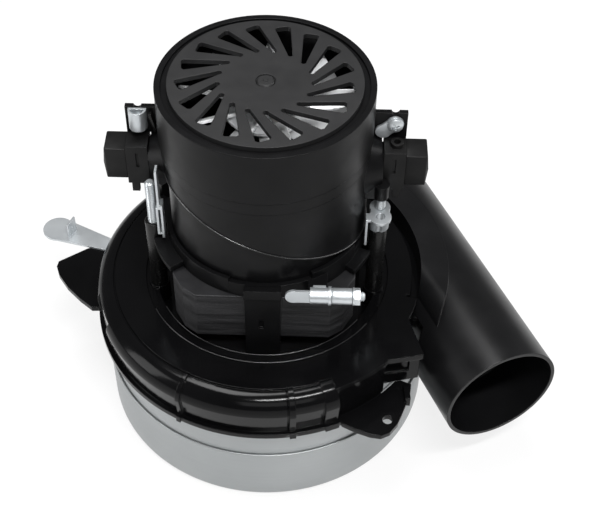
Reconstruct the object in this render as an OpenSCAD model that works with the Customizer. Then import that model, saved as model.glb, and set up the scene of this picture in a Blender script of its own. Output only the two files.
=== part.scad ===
// Tangential discharge vacuum motor: a three stage fan case below, a series wound motor above.
// Origin at the centre of the air inlet on the underside, +Z up along the shaft.

/* [Fan case] */
// Outside diameter of the lower shell
case_d = 144.8; // [142:0.2:147]
// Thickness of the drawn shells
case_wall = 0.9; // [0.6:0.1:1.2]
// Height of the lower shell, up to the seam
lower_shell_h = 31; // [27:0.5:34]
// Height of the whole case, up to the bracket seat
case_h = 50.5; // [49:0.5:53]
// Diameter of the air inlet
inlet_d = 38; // [32:1:40]
// Radius of the drawn bottom corner
case_corner = 3; // [2:0.5:5]
// Height of one fan wheel
wheel_h = 9.5; // [8.5:0.25:10]
// Diameter of the fan wheels
wheel_d = 124; // [116:1:128]
// Number of blades on a fan wheel
wheel_blades = 7; // [5:1:9]

/* [Fan bracket] */
// Height of the bracket's flat top over the case
bracket_h = 19.5; // [18:0.5:21]
// Wall thickness of the bracket's moulding
bracket_wall = 2.4; // [2:0.1:2.8]
// Diameter of the flat top plate
plate_d = 133.8; // [132:0.2:135]
// Diameter of the well that the motor stands in
well_d = 96; // [94:0.5:100]
// Depth of the well
well_depth = 10; // [9:0.5:11]
// Radius of the rolled rim
rim_roll = 8; // [7:0.25:9]
// Thickness of the flange and of its two ears
flange_t = 2.5; // [2:0.1:3.5]
// Diameter of the screw hole in the ear
ear_hole_d = 4.2; // [3:0.1:5]

/* [Discharge horn] */
// Outside diameter of the horn
horn_od = 51.3; // [49:0.1:52.5]
// Wall of the horn
horn_wall = 2; // [1.6:0.1:2.4]
// Wall of the socket in the horn's mouth, which takes a hose end
socket_wall = 1.6; // [1.2:0.1:2]
// Depth of that socket
socket_depth = 26; // [15:1:30]
// Distance from the shaft to the horn's centre line
horn_offset = 71.3; // [70:0.1:72.5]
// Distance from the shaft to the horn's mouth, along the horn
horn_reach = 87.6; // [80:0.2:96]
// Height of the horn's centre line
horn_z = 49; // [48:0.5:50]
// Turn of the horn about the shaft
horn_turn = 21.5; // [20:0.5:23]
// Radius of the scroll's corner, seen from above
lobe_r = 46; // [43:0.5:49]

/* [Motor] */
// Turn of the motor about the shaft
motor_turn = -2.7; // [-4:0.1:0]
// Height of the laminated stack
stack_h = 24.5; // [22:0.5:27]
// Width of the field core across its side faces
core_w = 74; // [72:0.5:75]
// Depth of the field core across its front and back faces
core_d = 82; // [80:0.5:83]
// Diameter of the armature
armature_d = 43; // [41:0.5:43.5]
// Diameter of the commutator
commutator_d = 25; // [22:0.5:27]
// Height of the brushes above the top of the stack
brush_rise = 36.5; // [35:0.5:38]
// Width of a brush
brush_w = 6.4; // [5:0.1:7]
// Height of a brush
brush_h = 10; // [8:0.2:11]
// Length of a brush
brush_len = 23; // [20:0.5:25]
// Free travel of a brush against its spring
brush_travel = 3; // [1:0.5:4]
// Diameter of the two long mounting screws
post_d = 4.4; // [3.6:0.1:5]
// Distance of the mounting screws outside the housing, along the brushes
post_gap = 4.2; // [3.4:0.1:4.9]

/* [Motor housing] */
// Outside diameter of the motor housing
can_d = 84.2; // [83:0.2:86]
// Height of the housing's rim above the top of the stack
can_rise = 76.1; // [74:0.5:79]
// Wall of the housing
can_wall = 2; // [1.6:0.1:2.2]
// Slope of the housing's slanted lower edge
edge_slope = 21.3; // [19:0.5:23]
// Step from the housing's wall in to the field cover under the slanted edge
cover_gap = 0.6; // [0.5:0.1:1.1]

/* [Top grille] */
// Gap between the grille and the housing's rim
grille_gap = 2.4; // [0.9:0.1:3.7]
// Thickness of the grille
grille_t = 2; // [1.5:0.1:2.6]
// Number of slots in the grille
grille_slots = 17; // [13:1:19]
// Radius of the slots' inner ends
slot_in = 17.2; // [15:0.2:20]
// Width of the grille's plain edge outside the slots
slot_edge = 3.7; // [2.8:0.1:6.3]
// Width of a slot at its outer end
slot_w = 6.2; // [4.5:0.1:6.6]
// Angle by which a slot leans from its inner to its outer end
slot_lean = 20; // [10:1:24]

/* [Cooling fan] */
// Diameter of the cooling fan
fan_d = 70; // [66:0.5:73]
// Number of blades of the cooling fan
fan_blades = 9; // [7:1:12]

/* [Hidden] */
$fn = 96;

fit = 0.05;          // radial clearance of pressed and running fits
gap = 0.3;           // clearance between neighbours
eps = 0.2;           // bite of one shape into the next inside one piece

case_r = case_d / 2;
upper_r = case_r - case_wall - fit;
flange_z = case_h - flange_t;
shell_top = case_h - 2 * fit;         // the bracket's walls stand on the shell here
flange_r = case_r + 2.8;
plate_top = case_h + bracket_h;
plate_t = 3;
plate_r = plate_d / 2;
rim_r = plate_r + rim_roll;
rim_foot = 1.5;                       // draft of the rim's wall
well_r = well_d / 2;
well_floor = plate_top - well_depth;
floor_t = 2.5;
well_under = well_floor - floor_t;
wall_in = plate_r + 3.8;              // inside of the plain front wall
scroll_edge = plate_r - 3.4;          // edge of the plate beside the scroll
groove = 3.5;                         // width of the groove between plate and scroll
scroll_in = scroll_edge + groove;
shelf_top = plate_top - 6;
shelf_t = 2;

bearing_low = [6, 14, 8];             // bore radius, outside radius and width
bearing_top = [4, 11, 7];
shaft_r = 5;
shaft_thin = bearing_top[0] - fit;
shaft_thick = bearing_low[0] - fit;

wheel_r = wheel_d / 2;
wheel_gap = 1;
inlet_lip = 3.4;                      // height of the lip round the inlet
wheel_first = case_wall + 2.3;
wheel_last_gap = 1.5;
diffuser_h = (well_under - wheel_last_gap - wheel_first - 3 * wheel_h - 4 * wheel_gap) / 2;
stage_pitch = wheel_h + diffuser_h + 2 * wheel_gap;
hub_rise = 3.8;                       // the hub starts this far above a wheel's underside
hub_r = 8;
disc_t = 1;
eye_r = inlet_d / 2 + 2;

core_z = well_floor + 13;
core_top = core_z + stack_h;
ring_h = 7;
ring_top = core_top + ring_h;
bore_r = armature_d / 2 + 0.6;
brush_z = core_top + brush_rise;
can_top = core_top + can_rise;
can_r = can_d / 2;
can_in = can_r - can_wall - 0.4;
cover_r = can_r - can_wall - cover_gap;
cover_wall = can_wall;
edge_z = core_top + 23.7;             // height of the slanted edge on the shaft's line
bearing_top_z = can_top - 25.5;
fan_z = bearing_top_z + bearing_top[2] + 2.5;
fan_hub_h = 8;
rim_in = can_r - 2.4;
seat_z = can_top - 1.2;               // ledge under the grille
grille_r = rim_in - grille_gap;
slot_out = grille_r - slot_edge;
ring_r = max(cover_r + 2.2, core_d / 2 + 0.7);   // outside of the field frame's ring
strip_in = ring_r - 0.6;              // inner face of the strips beside the ring

holder_in = 17;                       // inner end of a brush holder
holder_out = max(can_r + 13.2, commutator_d / 2 + brush_len + brush_travel + 16.8);
mid_in = can_r + 4.4;                 // start of the holder's wide outer part
mid_front = 5.2;
mid_back = 6.2;
mid_half_h = 9.6;
sleeve_half_w = 4.9;
sleeve_half_h = 6.9;
cap_len = 9.3;
post_x = max(can_r, ring_r + 0.4) + post_gap;
post_y = -8.8;
sleeve_r = 3.6;
sleeve_top = core_top + 9.6;
lug_top = brush_z - 3.2;
lug_h = 7;
plate_y = 4.2;                        // front face of the clip plates behind the holders
clip_x = can_r + 8.3;
clip_z = brush_z + 17.5;

ear_hole = [49.2, -68.3];
strap_turn = 156.6;
strap_t = 1;
strap_z = case_h;
ground_x = upper_r - 3.6;             // place and radius of the strap's screw
ground_r = 1.25;

module turned() rotate([0, 0, motor_turn]) children();
module horn_frame() rotate([0, 0, horn_turn]) children();
module sided(side) mirror([side < 0 ? 1 : 0, 0, 0]) children();

// A flat wedge from angle a0 to a1 that reaches past every radius in use
module wedge(a0, a1, reach = 200) {
    steps = max(1, ceil((a1 - a0) / 60));
    polygon(concat([[0, 0]],
        [for (i = [0:steps]) let(a = a0 + (a1 - a0) * i / steps) reach * [cos(a), sin(a)]]));
}

module tube(r_out, r_in, h) {
    difference() {
        cylinder(r = r_out, h = h);
        translate([0, 0, -1]) cylinder(r = r_in, h = h + 2);
    }
}

// A ring of rectangular section over part of a turn
module arc_wall(r_in, r_out, h, a0, a1) {
    rotate([0, 0, a0]) rotate_extrude(angle = a1 - a0) translate([r_in, 0]) square([r_out - r_in, h]);
}

// Half section of a drawn cup: a square with its lower outer corner rounded
module cup_section(r, h, corner) {
    square([r - corner, h]);
    translate([0, corner]) square([r, h - corner]);
    translate([r - corner, corner]) circle(corner);
}

// Fan case

module fan_shell_lower() {
    color("silver") {
        rotate_extrude() difference() {
            cup_section(case_r, lower_shell_h, case_corner);
            translate([0, case_wall])
                cup_section(case_r - case_wall, lower_shell_h, case_corner - case_wall);
            translate([0, -1]) square([inlet_d / 2, 3]);
        }
        tube(inlet_d / 2 + case_wall, inlet_d / 2, inlet_lip);
    }
}

module fan_shell_upper() {
    nest = 3;
    color("silver") difference() {
        union() {
            translate([0, 0, lower_shell_h - nest])
                tube(upper_r, upper_r - case_wall, shell_top - lower_shell_h + nest);
            translate([0, 0, shell_top - case_wall]) tube(upper_r, upper_r - 6, case_wall);
        }
        rotate([0, 0, strap_turn]) translate([ground_x, 0, case_h - 2]) cylinder(r = ground_r + fit, h = 4);
    }
}

// One curved blade: part of a thin ring about a shifted centre, from r_in to r_out
module curved_blade(r_in, r_out, h, t = 1, shift = 34, bend = 36) {
    a_out = acos((pow(r_out, 2) - pow(shift, 2) - pow(bend, 2)) / (2 * shift * bend));
    a_in = acos((pow(r_in, 2) - pow(shift, 2) - pow(bend, 2)) / (2 * shift * bend));
    translate([shift, 0, 0]) arc_wall(bend, bend + t, h, a_out, a_in);
}

module impeller(stage) {
    z = wheel_first + stage * stage_pitch;
    color("gainsboro") translate([0, 0, z]) {
        tube(wheel_r, eye_r, disc_t);
        tube(eye_r + disc_t, eye_r, 2);
        translate([0, 0, wheel_h - disc_t]) tube(wheel_r, shaft_thin + fit, disc_t);
        translate([0, 0, hub_rise]) tube(hub_r, shaft_thin + fit, wheel_h - hub_rise);
        for (i = [0:wheel_blades - 1]) rotate([0, 0, i * 360 / wheel_blades])
            translate([0, 0, disc_t - eps])
                curved_blade(eye_r + 3, wheel_r - 1.5, wheel_h - 2 * disc_t + 2 * eps);
    }
}

// Fixed stage: a lower disc, return blades and an upper disc that is pressed into the case
module diffuser(stage) {
    z = wheel_first + stage * stage_pitch + wheel_h + wheel_gap;
    seat = (z > lower_shell_h - 4 ? upper_r : case_r) - case_wall - fit;
    blades = 8;
    color("lightgray") translate([0, 0, z]) {
        tube(wheel_r, hub_r + 1, disc_t);
        translate([0, 0, diffuser_h - disc_t]) tube(seat, eye_r, disc_t);
        translate([0, 0, diffuser_h - 4]) tube(seat, seat - disc_t, 4);
        for (i = [0:blades - 1]) rotate([0, 0, i * 360 / blades])
            translate([0, 0, disc_t - eps])
                curved_blade(eye_r + 2, wheel_r - 1.5, diffuser_h - 2 * disc_t + 2 * eps);
    }
}

module impeller_spacers() {
    color("dimgray") for (stage = [0:1])
        translate([0, 0, wheel_first + stage * stage_pitch + wheel_h])
            tube(hub_r - 1, shaft_thin + fit, stage_pitch - wheel_h + hub_rise);
}

module impeller_nut() {
    nut_h = wheel_first + hub_rise - inlet_lip - gap;
    color("silver") translate([0, 0, wheel_first + hub_rise - nut_h]) difference() {
        cylinder(r = 7, h = nut_h, $fn = 6);
        translate([0, 0, -1]) cylinder(r = shaft_thin + fit, h = nut_h + 2);
    }
}

module air_seal() {
    color("dimgray") translate([0, 0, well_under]) tube(9, shaft_thick + 0.1, floor_t - 0.1);
}

// Fan bracket

// Half section of the rolled rim's outside, grown by extra
module rim_section(extra) {
    top = plate_top - rim_roll;
    intersection() {
        translate([plate_r, top]) circle(rim_roll + extra);
        translate([plate_r, top]) square(2 * rim_roll);
    }
    polygon([[plate_r, top], [rim_r + extra, top], [rim_r + extra - rim_foot, case_h],
             [plate_r, case_h]]);
}

module rolled_rim(a0, a1, extra) {
    rotate([0, 0, a0]) rotate_extrude(angle = a1 - a0) difference() {
        rim_section(extra);
        intersection() {
            rim_section(-bracket_wall);
            square([rim_r, plate_top]);
        }
    }
}

module rim_rib(a, span, extra, top_up) {
    rotate([0, 0, a]) rotate_extrude(angle = span) {
        difference() {
            rim_section(extra);
            rim_section(-bracket_wall / 2);
        }
        translate([rim_r - 2.4, flange_z]) square([2.6 + extra, flange_t + 1]);
        translate([plate_r - 2, plate_top - 1]) square([3, 1 + top_up]);
    }
}

// Corner of the bracket that runs out beside the horn: the plate's edge, and both faces of the
// wall set back under it, in the horn's frame
corner_out = [[49, -39.5], [46.2, -43.5], [43.9, -53.4], [41.8, -69.7], [23.4, -66.1], [12.7, -69.5]];
wall_out = [[49, -39.5], [46.2, -43.5], [43.9, -53.4], [42.2, -66.6], [23.8, -63.3], [13.2, -66.5]];
wall_back = [[47.8, -41.2], [44.2, -44.6], [41.6, -53.2], [40.1, -64], [24.3, -60.9], [13.6, -64.1]];

module bracket_plate_outline() {
    difference() {
        union() {
            circle(plate_r + eps);
            intersection() {
                circle(wall_in + bracket_wall / 2);
                rotate([0, 0, -68]) wedge(0, 22);
            }
        }
        horn_frame() difference() {
            wedge(-38, 114.7);
            circle(scroll_edge - bracket_wall / 2);
        }
    }
    horn_frame() polygon(concat([[0, 0]], corner_out));
}

module bracket_ears() {
    right_ear = [[26, -62], [30.3, -69.8], [35.5, -72.8], [41.5, -75.4], [46, -76.2], [49.8, -74.5],
                 [53.4, -70.1], [55.5, -65.6], [57.6, -60.6], [59.8, -55], [60.6, -50.2], [50, -45]];
    left_ear = [[-64, 33], [-74, 33], [-83.4, 30.4], [-96, 22.4], [-96.6, 19.3], [-95.1, 14.4],
                [-90.5, 7], [-84.2, -0.2], [-78.4, -5.6], [-70, -5.6]];
    difference() {
        translate([0, 0, flange_z]) {
            linear_extrude(flange_t) polygon(right_ear);
            linear_extrude(flange_t) polygon(left_ear);
            translate([57, -59.5, 0]) cube([2.4, 7, flange_t + 2.5]);
        }
        translate([0, 0, flange_z - 1]) cylinder(r = upper_r + 1, h = flange_t + 1);
        translate([0, 0, case_h - eps]) cylinder(r = wall_in, h = 4);
        translate([ear_hole[0], ear_hole[1], flange_z - 1]) cylinder(d = ear_hole_d, h = flange_t + 2);
    }
}

module bracket_well() {
    hub_h = bearing_low[2] + 0.3;
    difference() {
        union() {
            translate([0, 0, well_under]) tube(well_r + bracket_wall, well_r, plate_top - 1 - well_under);
            translate([0, 0, well_under]) cylinder(r = well_r + 1, h = floor_t);
            translate([0, 0, well_floor - eps]) cylinder(r = bearing_low[1] + 3, h = hub_h + eps);
            turned() for (side = [-1, 1]) translate([side * post_x, post_y, well_under])
                cylinder(r = sleeve_r + 0.8, h = plate_top - well_under);
        }
        translate([0, 0, well_floor]) cylinder(r = bearing_low[1] + fit, h = hub_h + 1);
        translate([0, 0, well_under - 1]) cylinder(r = 9 + fit, h = floor_t + 2);
    }
}

module fan_bracket() {
    horn_from = horn_turn + 114.7;
    front = 360 - 67;
    color([0.1, 0.1, 0.11]) difference() {
        union() {
            difference() {
                union() {
                    translate([0, 0, plate_top - plate_t]) linear_extrude(plate_t) bracket_plate_outline();
                    rolled_rim(horn_from, 276, 0);
                    rolled_rim(276 - 0.01, front, -0.6);
                    rim_rib(239.7, 1.5, 1, 0.3);
                    rim_rib(276.5, 2, 1, 0.3);
                    rim_rib(288, 4.6, 0.9, 0.6);
                    translate([0, 0, flange_z]) arc_wall(upper_r + fit, flange_r, flange_t, horn_from, 311);
                    translate([0, 0, shell_top])
                        arc_wall(wall_in - bracket_wall / 2, wall_in + bracket_wall / 2 + 0.3,
                                 bracket_h - 1, front - 0.5, 312);
                    translate([0, 0, shell_top]) horn_frame() linear_extrude(bracket_h - 1)
                        polygon(concat(wall_out, [for (i = [len(wall_back) - 1:-1:0]) wall_back[i]]));
                }
                translate([0, 0, plate_top - 8]) cylinder(r = well_r, h = 20);
                translate([0, 0, case_h + 4]) arc_wall(rim_r - 1.5, rim_r + 4, 20, 189, 203);
                translate([0, 0, plate_top - 1]) cylinder(r = well_r + 4.8, h = 5);
                translate([0, 0, plate_top - 0.8])
                    arc_wall(plate_r - 0.5, plate_r + 0.3, 2, horn_from, front);
                rotate([0, 0, strap_turn]) translate([ground_x - 4, -4, strap_z])
                    cube([14, 8, strap_t + fit]);
                horn_frame() translate([24.5, -65.2, case_h + 6]) rotate([0, 0, -11]) cube([13, 3, 9]);
            }
            horn_frame() translate([0, 0, shelf_top - shelf_t]) difference() {
                union() {
                    arc_wall(scroll_edge - bracket_wall / 2, scroll_in + 2, shelf_t, -43, 115);
                    arc_wall(scroll_edge - bracket_wall, scroll_edge, plate_top - shelf_top + shelf_t,
                             -37, 115.6);
                }
                translate([0, -80, -1]) cube([43.8, 60, 20]);
            }
            bracket_ears();
            bracket_well();
        }
        turned() for (side = [-1, 1]) translate([side * post_x, post_y, well_floor])
            cylinder(r = post_d / 2 + fit, h = 20);
    }
}

// Discharge horn, drawn with the horn's centre line along Y

scroll_r = case_r + 2.6;                            // outside of the scroll where it dies out
lobe_c = [horn_offset + horn_od / 2 - lobe_r, scroll_r - lobe_r];
lobe_hole = 6;                                      // the scroll is hollow round the lobe's own centre

// Section of the scroll: a plain inner part and a round outer edge of radius r at distance c
module scroll_section(from, c, r) {
    translate([from, -r]) square([c - from, 2 * r]);
    intersection() {
        translate([c, 0]) circle(r);
        translate([c, -r]) square([r, 2 * r]);
    }
}

module scroll_turn(from, c, r, a0, a1) {
    rotate([0, 0, a0]) rotate_extrude(angle = a1 - a0) scroll_section(from, c, r);
}

// The scroll's run into the horn, with its walls set in by inset
module scroll_form(inset) {
    half = horn_od / 2;
    r = half - inset;
    difference() {
        translate([0, 0, horn_z]) {
            translate([lobe_c[0], lobe_c[1], 0]) scroll_turn(lobe_hole, lobe_r - half, r, 0, 90);
            translate([0, lobe_c[1], 0]) rotate([90, 0, 90]) linear_extrude(lobe_c[0])
                scroll_section(lobe_hole, lobe_r - half, r);
            scroll_turn(lobe_c[1] + lobe_hole, scroll_r - half, r, 90, 114.5);
        }
        // Slanted underside
        translate([60, -60, horn_z - half + inset]) rotate([0, 17, 0])
            translate([-220, 0, -120]) cube([260, 200, 120]);
    }
}

module horn_tube(inset, past) {
    translate([horn_offset, -horn_reach - past, horn_z]) rotate([-90, 0, 0])
        cylinder(r = horn_od / 2 - inset, h = horn_reach + past + lobe_c[1]);
}

// Flat topped crescent over the scroll: it tapers to a point beside the horn
module crescent() {
    top = plate_top + 5;
    round = 9;
    side = 54;
    intersection() {
        translate([0, 0, shelf_top - shelf_t])
            arc_wall(scroll_in - 4, scroll_in + 12, 20, -50, 114.5);
        union() {
            translate([-60, -23, 0]) cube([160, 123, top]);
            translate([0, -23, 0]) rotate([90, 0, 0]) linear_extrude(40) {
                translate([side + round, 0]) square([40, top]);
                translate([side, 0]) square([round, top - round]);
                intersection() {
                    translate([side + round, top - round]) circle(round);
                    translate([side, top - round]) square(round);
                }
            }
        }
    }
}

module discharge_horn() {
    color([0.12, 0.12, 0.13]) horn_frame() difference() {
        union() {
            horn_tube(0, 0);
            scroll_form(0);
            crescent();
        }
        difference() {
            union() {
                horn_tube(horn_wall, 1);
                scroll_form(horn_wall);
            }
            translate([0, 0, shelf_top - shelf_t]) cylinder(r = scroll_in + horn_wall, h = 40);
            cylinder(r = case_r + gap + horn_wall, h = case_h + 1.5);
        }
        translate([horn_offset, -horn_reach - 2, horn_z]) rotate([-90, 0, 0])
            cylinder(r = horn_od / 2 - socket_wall, h = socket_depth + 2);
        cylinder(r = scroll_in, h = 100);
        cylinder(r = case_r + gap, h = shelf_top);
    }
}

// Motor

module lower_bearing() {
    color("silver") translate([0, 0, well_floor]) difference() {
        tube(bearing_low[1], bearing_low[0], bearing_low[2]);
        for (z = [-0.1, bearing_low[2] - 0.5]) translate([0, 0, z])
            tube(bearing_low[1] - 1.8, bearing_low[0] + 1.8, 0.6);
    }
}

module upper_bearing() {
    color("silver") translate([0, 0, bearing_top_z]) difference() {
        tube(bearing_top[1], bearing_top[0], bearing_top[2]);
        for (z = [-0.1, bearing_top[2] - 0.5]) translate([0, 0, z])
            tube(bearing_top[1] - 1.6, bearing_top[0] + 1.6, 0.6);
    }
}

module shaft() {
    shoulder = well_under - 1.3;
    thick_top = well_floor + bearing_low[2] + 0.6;
    color("lightgray") {
        translate([0, 0, inlet_lip + gap]) cylinder(r = shaft_thin, h = shoulder - inlet_lip - gap);
        translate([0, 0, shoulder]) cylinder(r = shaft_thick, h = thick_top - shoulder);
        translate([0, 0, thick_top]) cylinder(r = shaft_r, h = bearing_top_z - thick_top - 0.2);
        translate([0, 0, bearing_top_z - 0.2])
            cylinder(r = shaft_thin, h = fan_z + fan_hub_h + 1.5 - bearing_top_z);
    }
}

armature_teeth = 12;

module armature_core() {
    color("dimgray") translate([0, 0, core_z]) difference() {
        tube(armature_d / 2, shaft_r + fit, stack_h);
        for (i = [0:armature_teeth - 1]) rotate([0, 0, i * 360 / armature_teeth]) {
            translate([armature_d / 2 - 10, -2, -1]) cube([7.5, 4, stack_h + 2]);
            translate([armature_d / 2 - 4, -0.8, -1]) cube([8, 1.6, stack_h + 2]);
        }
    }
}

module armature_windings() {
    r = armature_d / 2;
    low = core_z - well_floor - bearing_low[2] - 1.2;
    color("peru") {
        for (i = [0:armature_teeth - 1]) rotate([0, 0, i * 360 / armature_teeth])
            translate([r - 9.8, -1.8, core_z - 1]) cube([7.1, 3.6, stack_h + 2]);
        translate([0, 0, core_z - low]) tube(r - 2.5, shaft_r + 1, low - 0.1);
        translate([0, 0, core_top + 0.1]) rotate_extrude() difference() {
            intersection() {
                translate([shaft_r + 1, 0]) square([r - 3.5 - shaft_r, 11]);
                translate([shaft_r + 1, 0]) circle(r - 3.5 - shaft_r);
            }
            translate([-1, -1]) square([shaft_r + 2, 20]);
        }
    }
}

module commutator() {
    bars = 24;
    h = 22;
    z = brush_z - 11;
    color("goldenrod") translate([0, 0, z]) difference() {
        union() {
            tube(commutator_d / 2, shaft_r + fit, h);
            tube(commutator_d / 2 + 1.6, shaft_r + fit, 2.4);
        }
        for (i = [0:bars - 1]) rotate([0, 0, i * 360 / bars])
            translate([commutator_d / 2 - 0.8, -0.3, -1]) cube([4, 0.6, h + 2]);
    }
}

// Field core: a stack outline with stepped corners, two poles and two coil windows
function core_outline() = let(w = core_w / 2, d = core_d / 2,
    quarter = [[w, 20], [w, 29], [w - 4.5, d - 4], [w - 10, d]])
    concat(quarter,
        [for (i = [3:-1:0]) [-quarter[i][0], quarter[i][1]]],
        [for (i = [0:3]) [-quarter[i][0], -quarter[i][1]]],
        [for (i = [3:-1:0]) [quarter[i][0], -quarter[i][1]]]);
coil_in = bore_r + 1.6;
coil_out = min(core_w / 2 - 2, cover_r - cover_wall - 2.5);
coil_a = 88;
pole_a = 58;

module field_core() {
    color([0.16, 0.16, 0.17]) turned() translate([0, 0, core_z]) difference() {
        linear_extrude(stack_h) polygon(core_outline());
        translate([0, 0, -1]) cylinder(r = bore_r, h = stack_h + 2);
        for (a = [pole_a - 1, 180 + pole_a - 1]) translate([0, 0, -1])
            arc_wall(bore_r - 1, coil_out + 0.6, stack_h + 2, a, a + 180 - 2 * pole_a + 2);
    }
}

module field_coil(side) {
    over = 6.4;
    color([0.45, 0.2, 0.1]) turned() sided(side) translate([0, 0, core_z - over]) difference() {
        arc_wall(coil_in, coil_out, stack_h + 2 * over, -coil_a, coil_a);
        translate([0, 0, over - 0.2])
            arc_wall(coil_in - 2, coil_out + 2, stack_h + 0.4, 1 - pole_a - 1.2, pole_a + 0.2);
    }
}

// Plastic frame under, around and over the field core
module field_frame() {
    post_w = 14.3;
    post_out = core_d / 2 + 2.8;
    foot_h = 4;
    color([0.09, 0.09, 0.1]) turned() {
        // Round ring over the stack, with a boss that carries the clamp lug
        difference() {
            union() {
                translate([0, 0, core_top]) cylinder(r = ring_r, h = ring_h);
                translate([18, lug_seat, ring_top - 5]) cube([7.6, 10, 5]);
                for (side = [-1, 1])
                    translate([-post_w / 2, side < 0 ? -post_out : core_d / 2 + 0.1, ring_top - 5])
                        cube([post_w, 2.7, 5]);
                translate([-post_w / 2 - 0.4, -post_out - 1.2, ring_top - 4.5])
                    cube([post_w + 0.8, 3, 5]);
            }
            translate([0, 0, core_top - 1]) cylinder(r = cover_r - cover_wall, h = ring_h + 2);
            translate([0, 0, ring_top - 3]) cylinder(r = cover_r + fit, h = 5);
        }
        for (side = [-1, 1]) {
            difference() {
                translate([-post_w / 2, side < 0 ? -post_out : core_d / 2 + 0.1, well_floor])
                    cube([post_w, 2.7, ring_top - 4 - well_floor]);
                translate([-1.6, -post_out - 1, core_z + 8]) cube([2, 2.2, 5]);
            }
            sided(side) translate([core_w / 2 + 0.1, -6, well_floor])
                cube([3, 12, core_top + 1 - well_floor]);
        }
        translate([0, 0, well_floor]) difference() {
            intersection() {
                cylinder(r = well_r - 0.6, h = foot_h);
                translate([-core_w / 2 - 3, -core_d / 2 - 2.7, 0])
                    cube([core_w + 6, core_d + 5.4, foot_h]);
            }
            translate([0, 0, -1]) cylinder(r = 37, h = foot_h + 2);
            for (side = [-1, 1]) translate([side * post_x, post_y, -1]) cylinder(r = 5.6, h = 20);
        }
        // Guards that stand up round the field cover, and the flared lobes at the sides
        translate([0, 0, core_top + 1]) {
            arc_wall(cover_r + 0.5, cover_r + 2.3, 9.2, -62, -29);
            arc_wall(cover_r + 0.5, cover_r + 2.3, 7.5, 203, 251);
            arc_wall(cover_r + 0.5, cover_r + 2.3, 8.5, 60, 120);
            difference() {
                union() {
                    arc_wall(cover_r + 1, cover_r + 8.5, 2.4, 196, 218);
                    arc_wall(cover_r + 1, cover_r + 7, 2.4, -38, -22);
                }
                for (side = [-1, 1]) translate([side * post_x, post_y, -5])
                    cylinder(r = sleeve_r + gap, h = 20);
            }
        }
    }
}

// Field cover and motor housing

// Slot for the brush holders, right across the motor
module holder_slot() {
    translate([-holder_out, -sleeve_half_w - fit, brush_z - sleeve_half_h - fit])
        cube([2 * holder_out, 2 * (sleeve_half_w + fit), 2 * (sleeve_half_h + fit)]);
}

module field_cover() {
    top = brush_z + sleeve_half_h + 4;
    color([0.13, 0.13, 0.14]) turned() difference() {
        translate([0, 0, ring_top - 3]) tube(cover_r, cover_r - cover_wall, top - ring_top + 3);
        holder_slot();
    }
}

// Cut below the housing's slanted edge
module below_edge() {
    translate([0, 0, edge_z]) rotate([0, 0, 6.2 - motor_turn]) rotate([0, edge_slope, 0])
        translate([-100, -100, -120]) cube([200, 200, 120]);
}

module motor_housing() {
    step_1 = can_top - 23;
    step_2 = can_top - 29;
    base = core_top;
    arm_z = bearing_top_z - 1.5;
    color([0.11, 0.11, 0.12]) turned() {
        difference() {
            union() {
                translate([0, 0, base]) tube(can_r - 0.9, can_in, step_2 - base);
                translate([0, 0, step_2 - eps]) tube(can_r - 0.5, can_in, step_1 - step_2 + eps);
                translate([0, 0, step_1 - eps]) tube(can_r, can_in, can_top - step_1 + eps);
                for (side = [-1, 1]) sided(side) {
                    translate([can_r - 6, 0, brush_z]) rotate([0, 90, 0])
                        cylinder(r1 = 15, r2 = 9.5, h = mid_in - can_r + 5.8);
                    translate([can_r - 3, post_y - 1.5, lug_top - lug_h])
                        cube([post_x - can_r + 3, 3, lug_h]);
                    translate([post_x, post_y, lug_top - lug_h])
                        cylinder(r1 = post_d / 2 + 0.8, r2 = sleeve_r - 0.4, h = lug_h);
                    translate([can_r - 1.5, plate_y, brush_z + 8])
                        cube([holder_out - can_r + 1.5, 2.2, 14.4]);
                }
            }
            translate([0, 0, base - 1]) cylinder(r = can_in, h = can_top - base);
            below_edge();
            holder_slot();
            for (side = [-1, 1]) sided(side) {
                translate([clip_x, plate_y - 1, clip_z + 5.2]) rotate([-90, 0, 0]) cylinder(r = 1.6, h = 5);
                translate([clip_x, plate_y - 1, clip_z]) rotate([-90, 0, 0]) cylinder(r = 1.65, h = 5);
                translate([mid_in - 0.6, -mid_front - gap, brush_z - mid_half_h - gap])
                    cube([20, 30, 2 * mid_half_h + gap]);
                translate([post_x, post_y, lug_top - lug_h - 1])
                    cylinder(r = post_d / 2 + fit, h = lug_h - 0.5);
            }
            translate([0, 0, seat_z]) cylinder(r = rim_in, h = 10);
        }
        // Ledge for the grille, and the bearing's hub on four arms
        translate([0, 0, seat_z - 1.4]) tube(can_in + eps, grille_r - 1.5, 1.4);
        difference() {
            union() {
                translate([0, 0, arm_z]) cylinder(r = bearing_top[1] + 3, h = bearing_top[2] + 1.5);
                for (a = [45:90:315]) rotate([0, 0, a]) translate([0, -3, arm_z])
                    cube([can_in + eps, 6, bearing_top[2]]);
            }
            translate([0, 0, bearing_top_z]) cylinder(r = bearing_top[1] + fit, h = 20);
            translate([0, 0, arm_z - 1]) cylinder(r = 7, h = 20);
        }
    }
}

// Top grille: slanted slots that widen outwards, round a plain centre with a button
module grille_slot() {
    narrow = 1.1;
    inner = slot_in + narrow;
    tip = slot_out * [cos(slot_lean), sin(slot_lean)];
    along = (tip - [inner, 0]) / norm(tip - [inner, 0]);
    across = [-along[1], along[0]];
    half = slot_w / 2;
    nick = 0.9;
    translate([inner, 0]) circle(narrow);
    polygon([[inner, 0] - 0.9 * narrow * across, tip - half * across - nick * along,
             tip - (half - nick) * across, tip + (half - nick) * across,
             tip + half * across - nick * along, [inner, 0] + 0.9 * narrow * across]);
}

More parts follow.
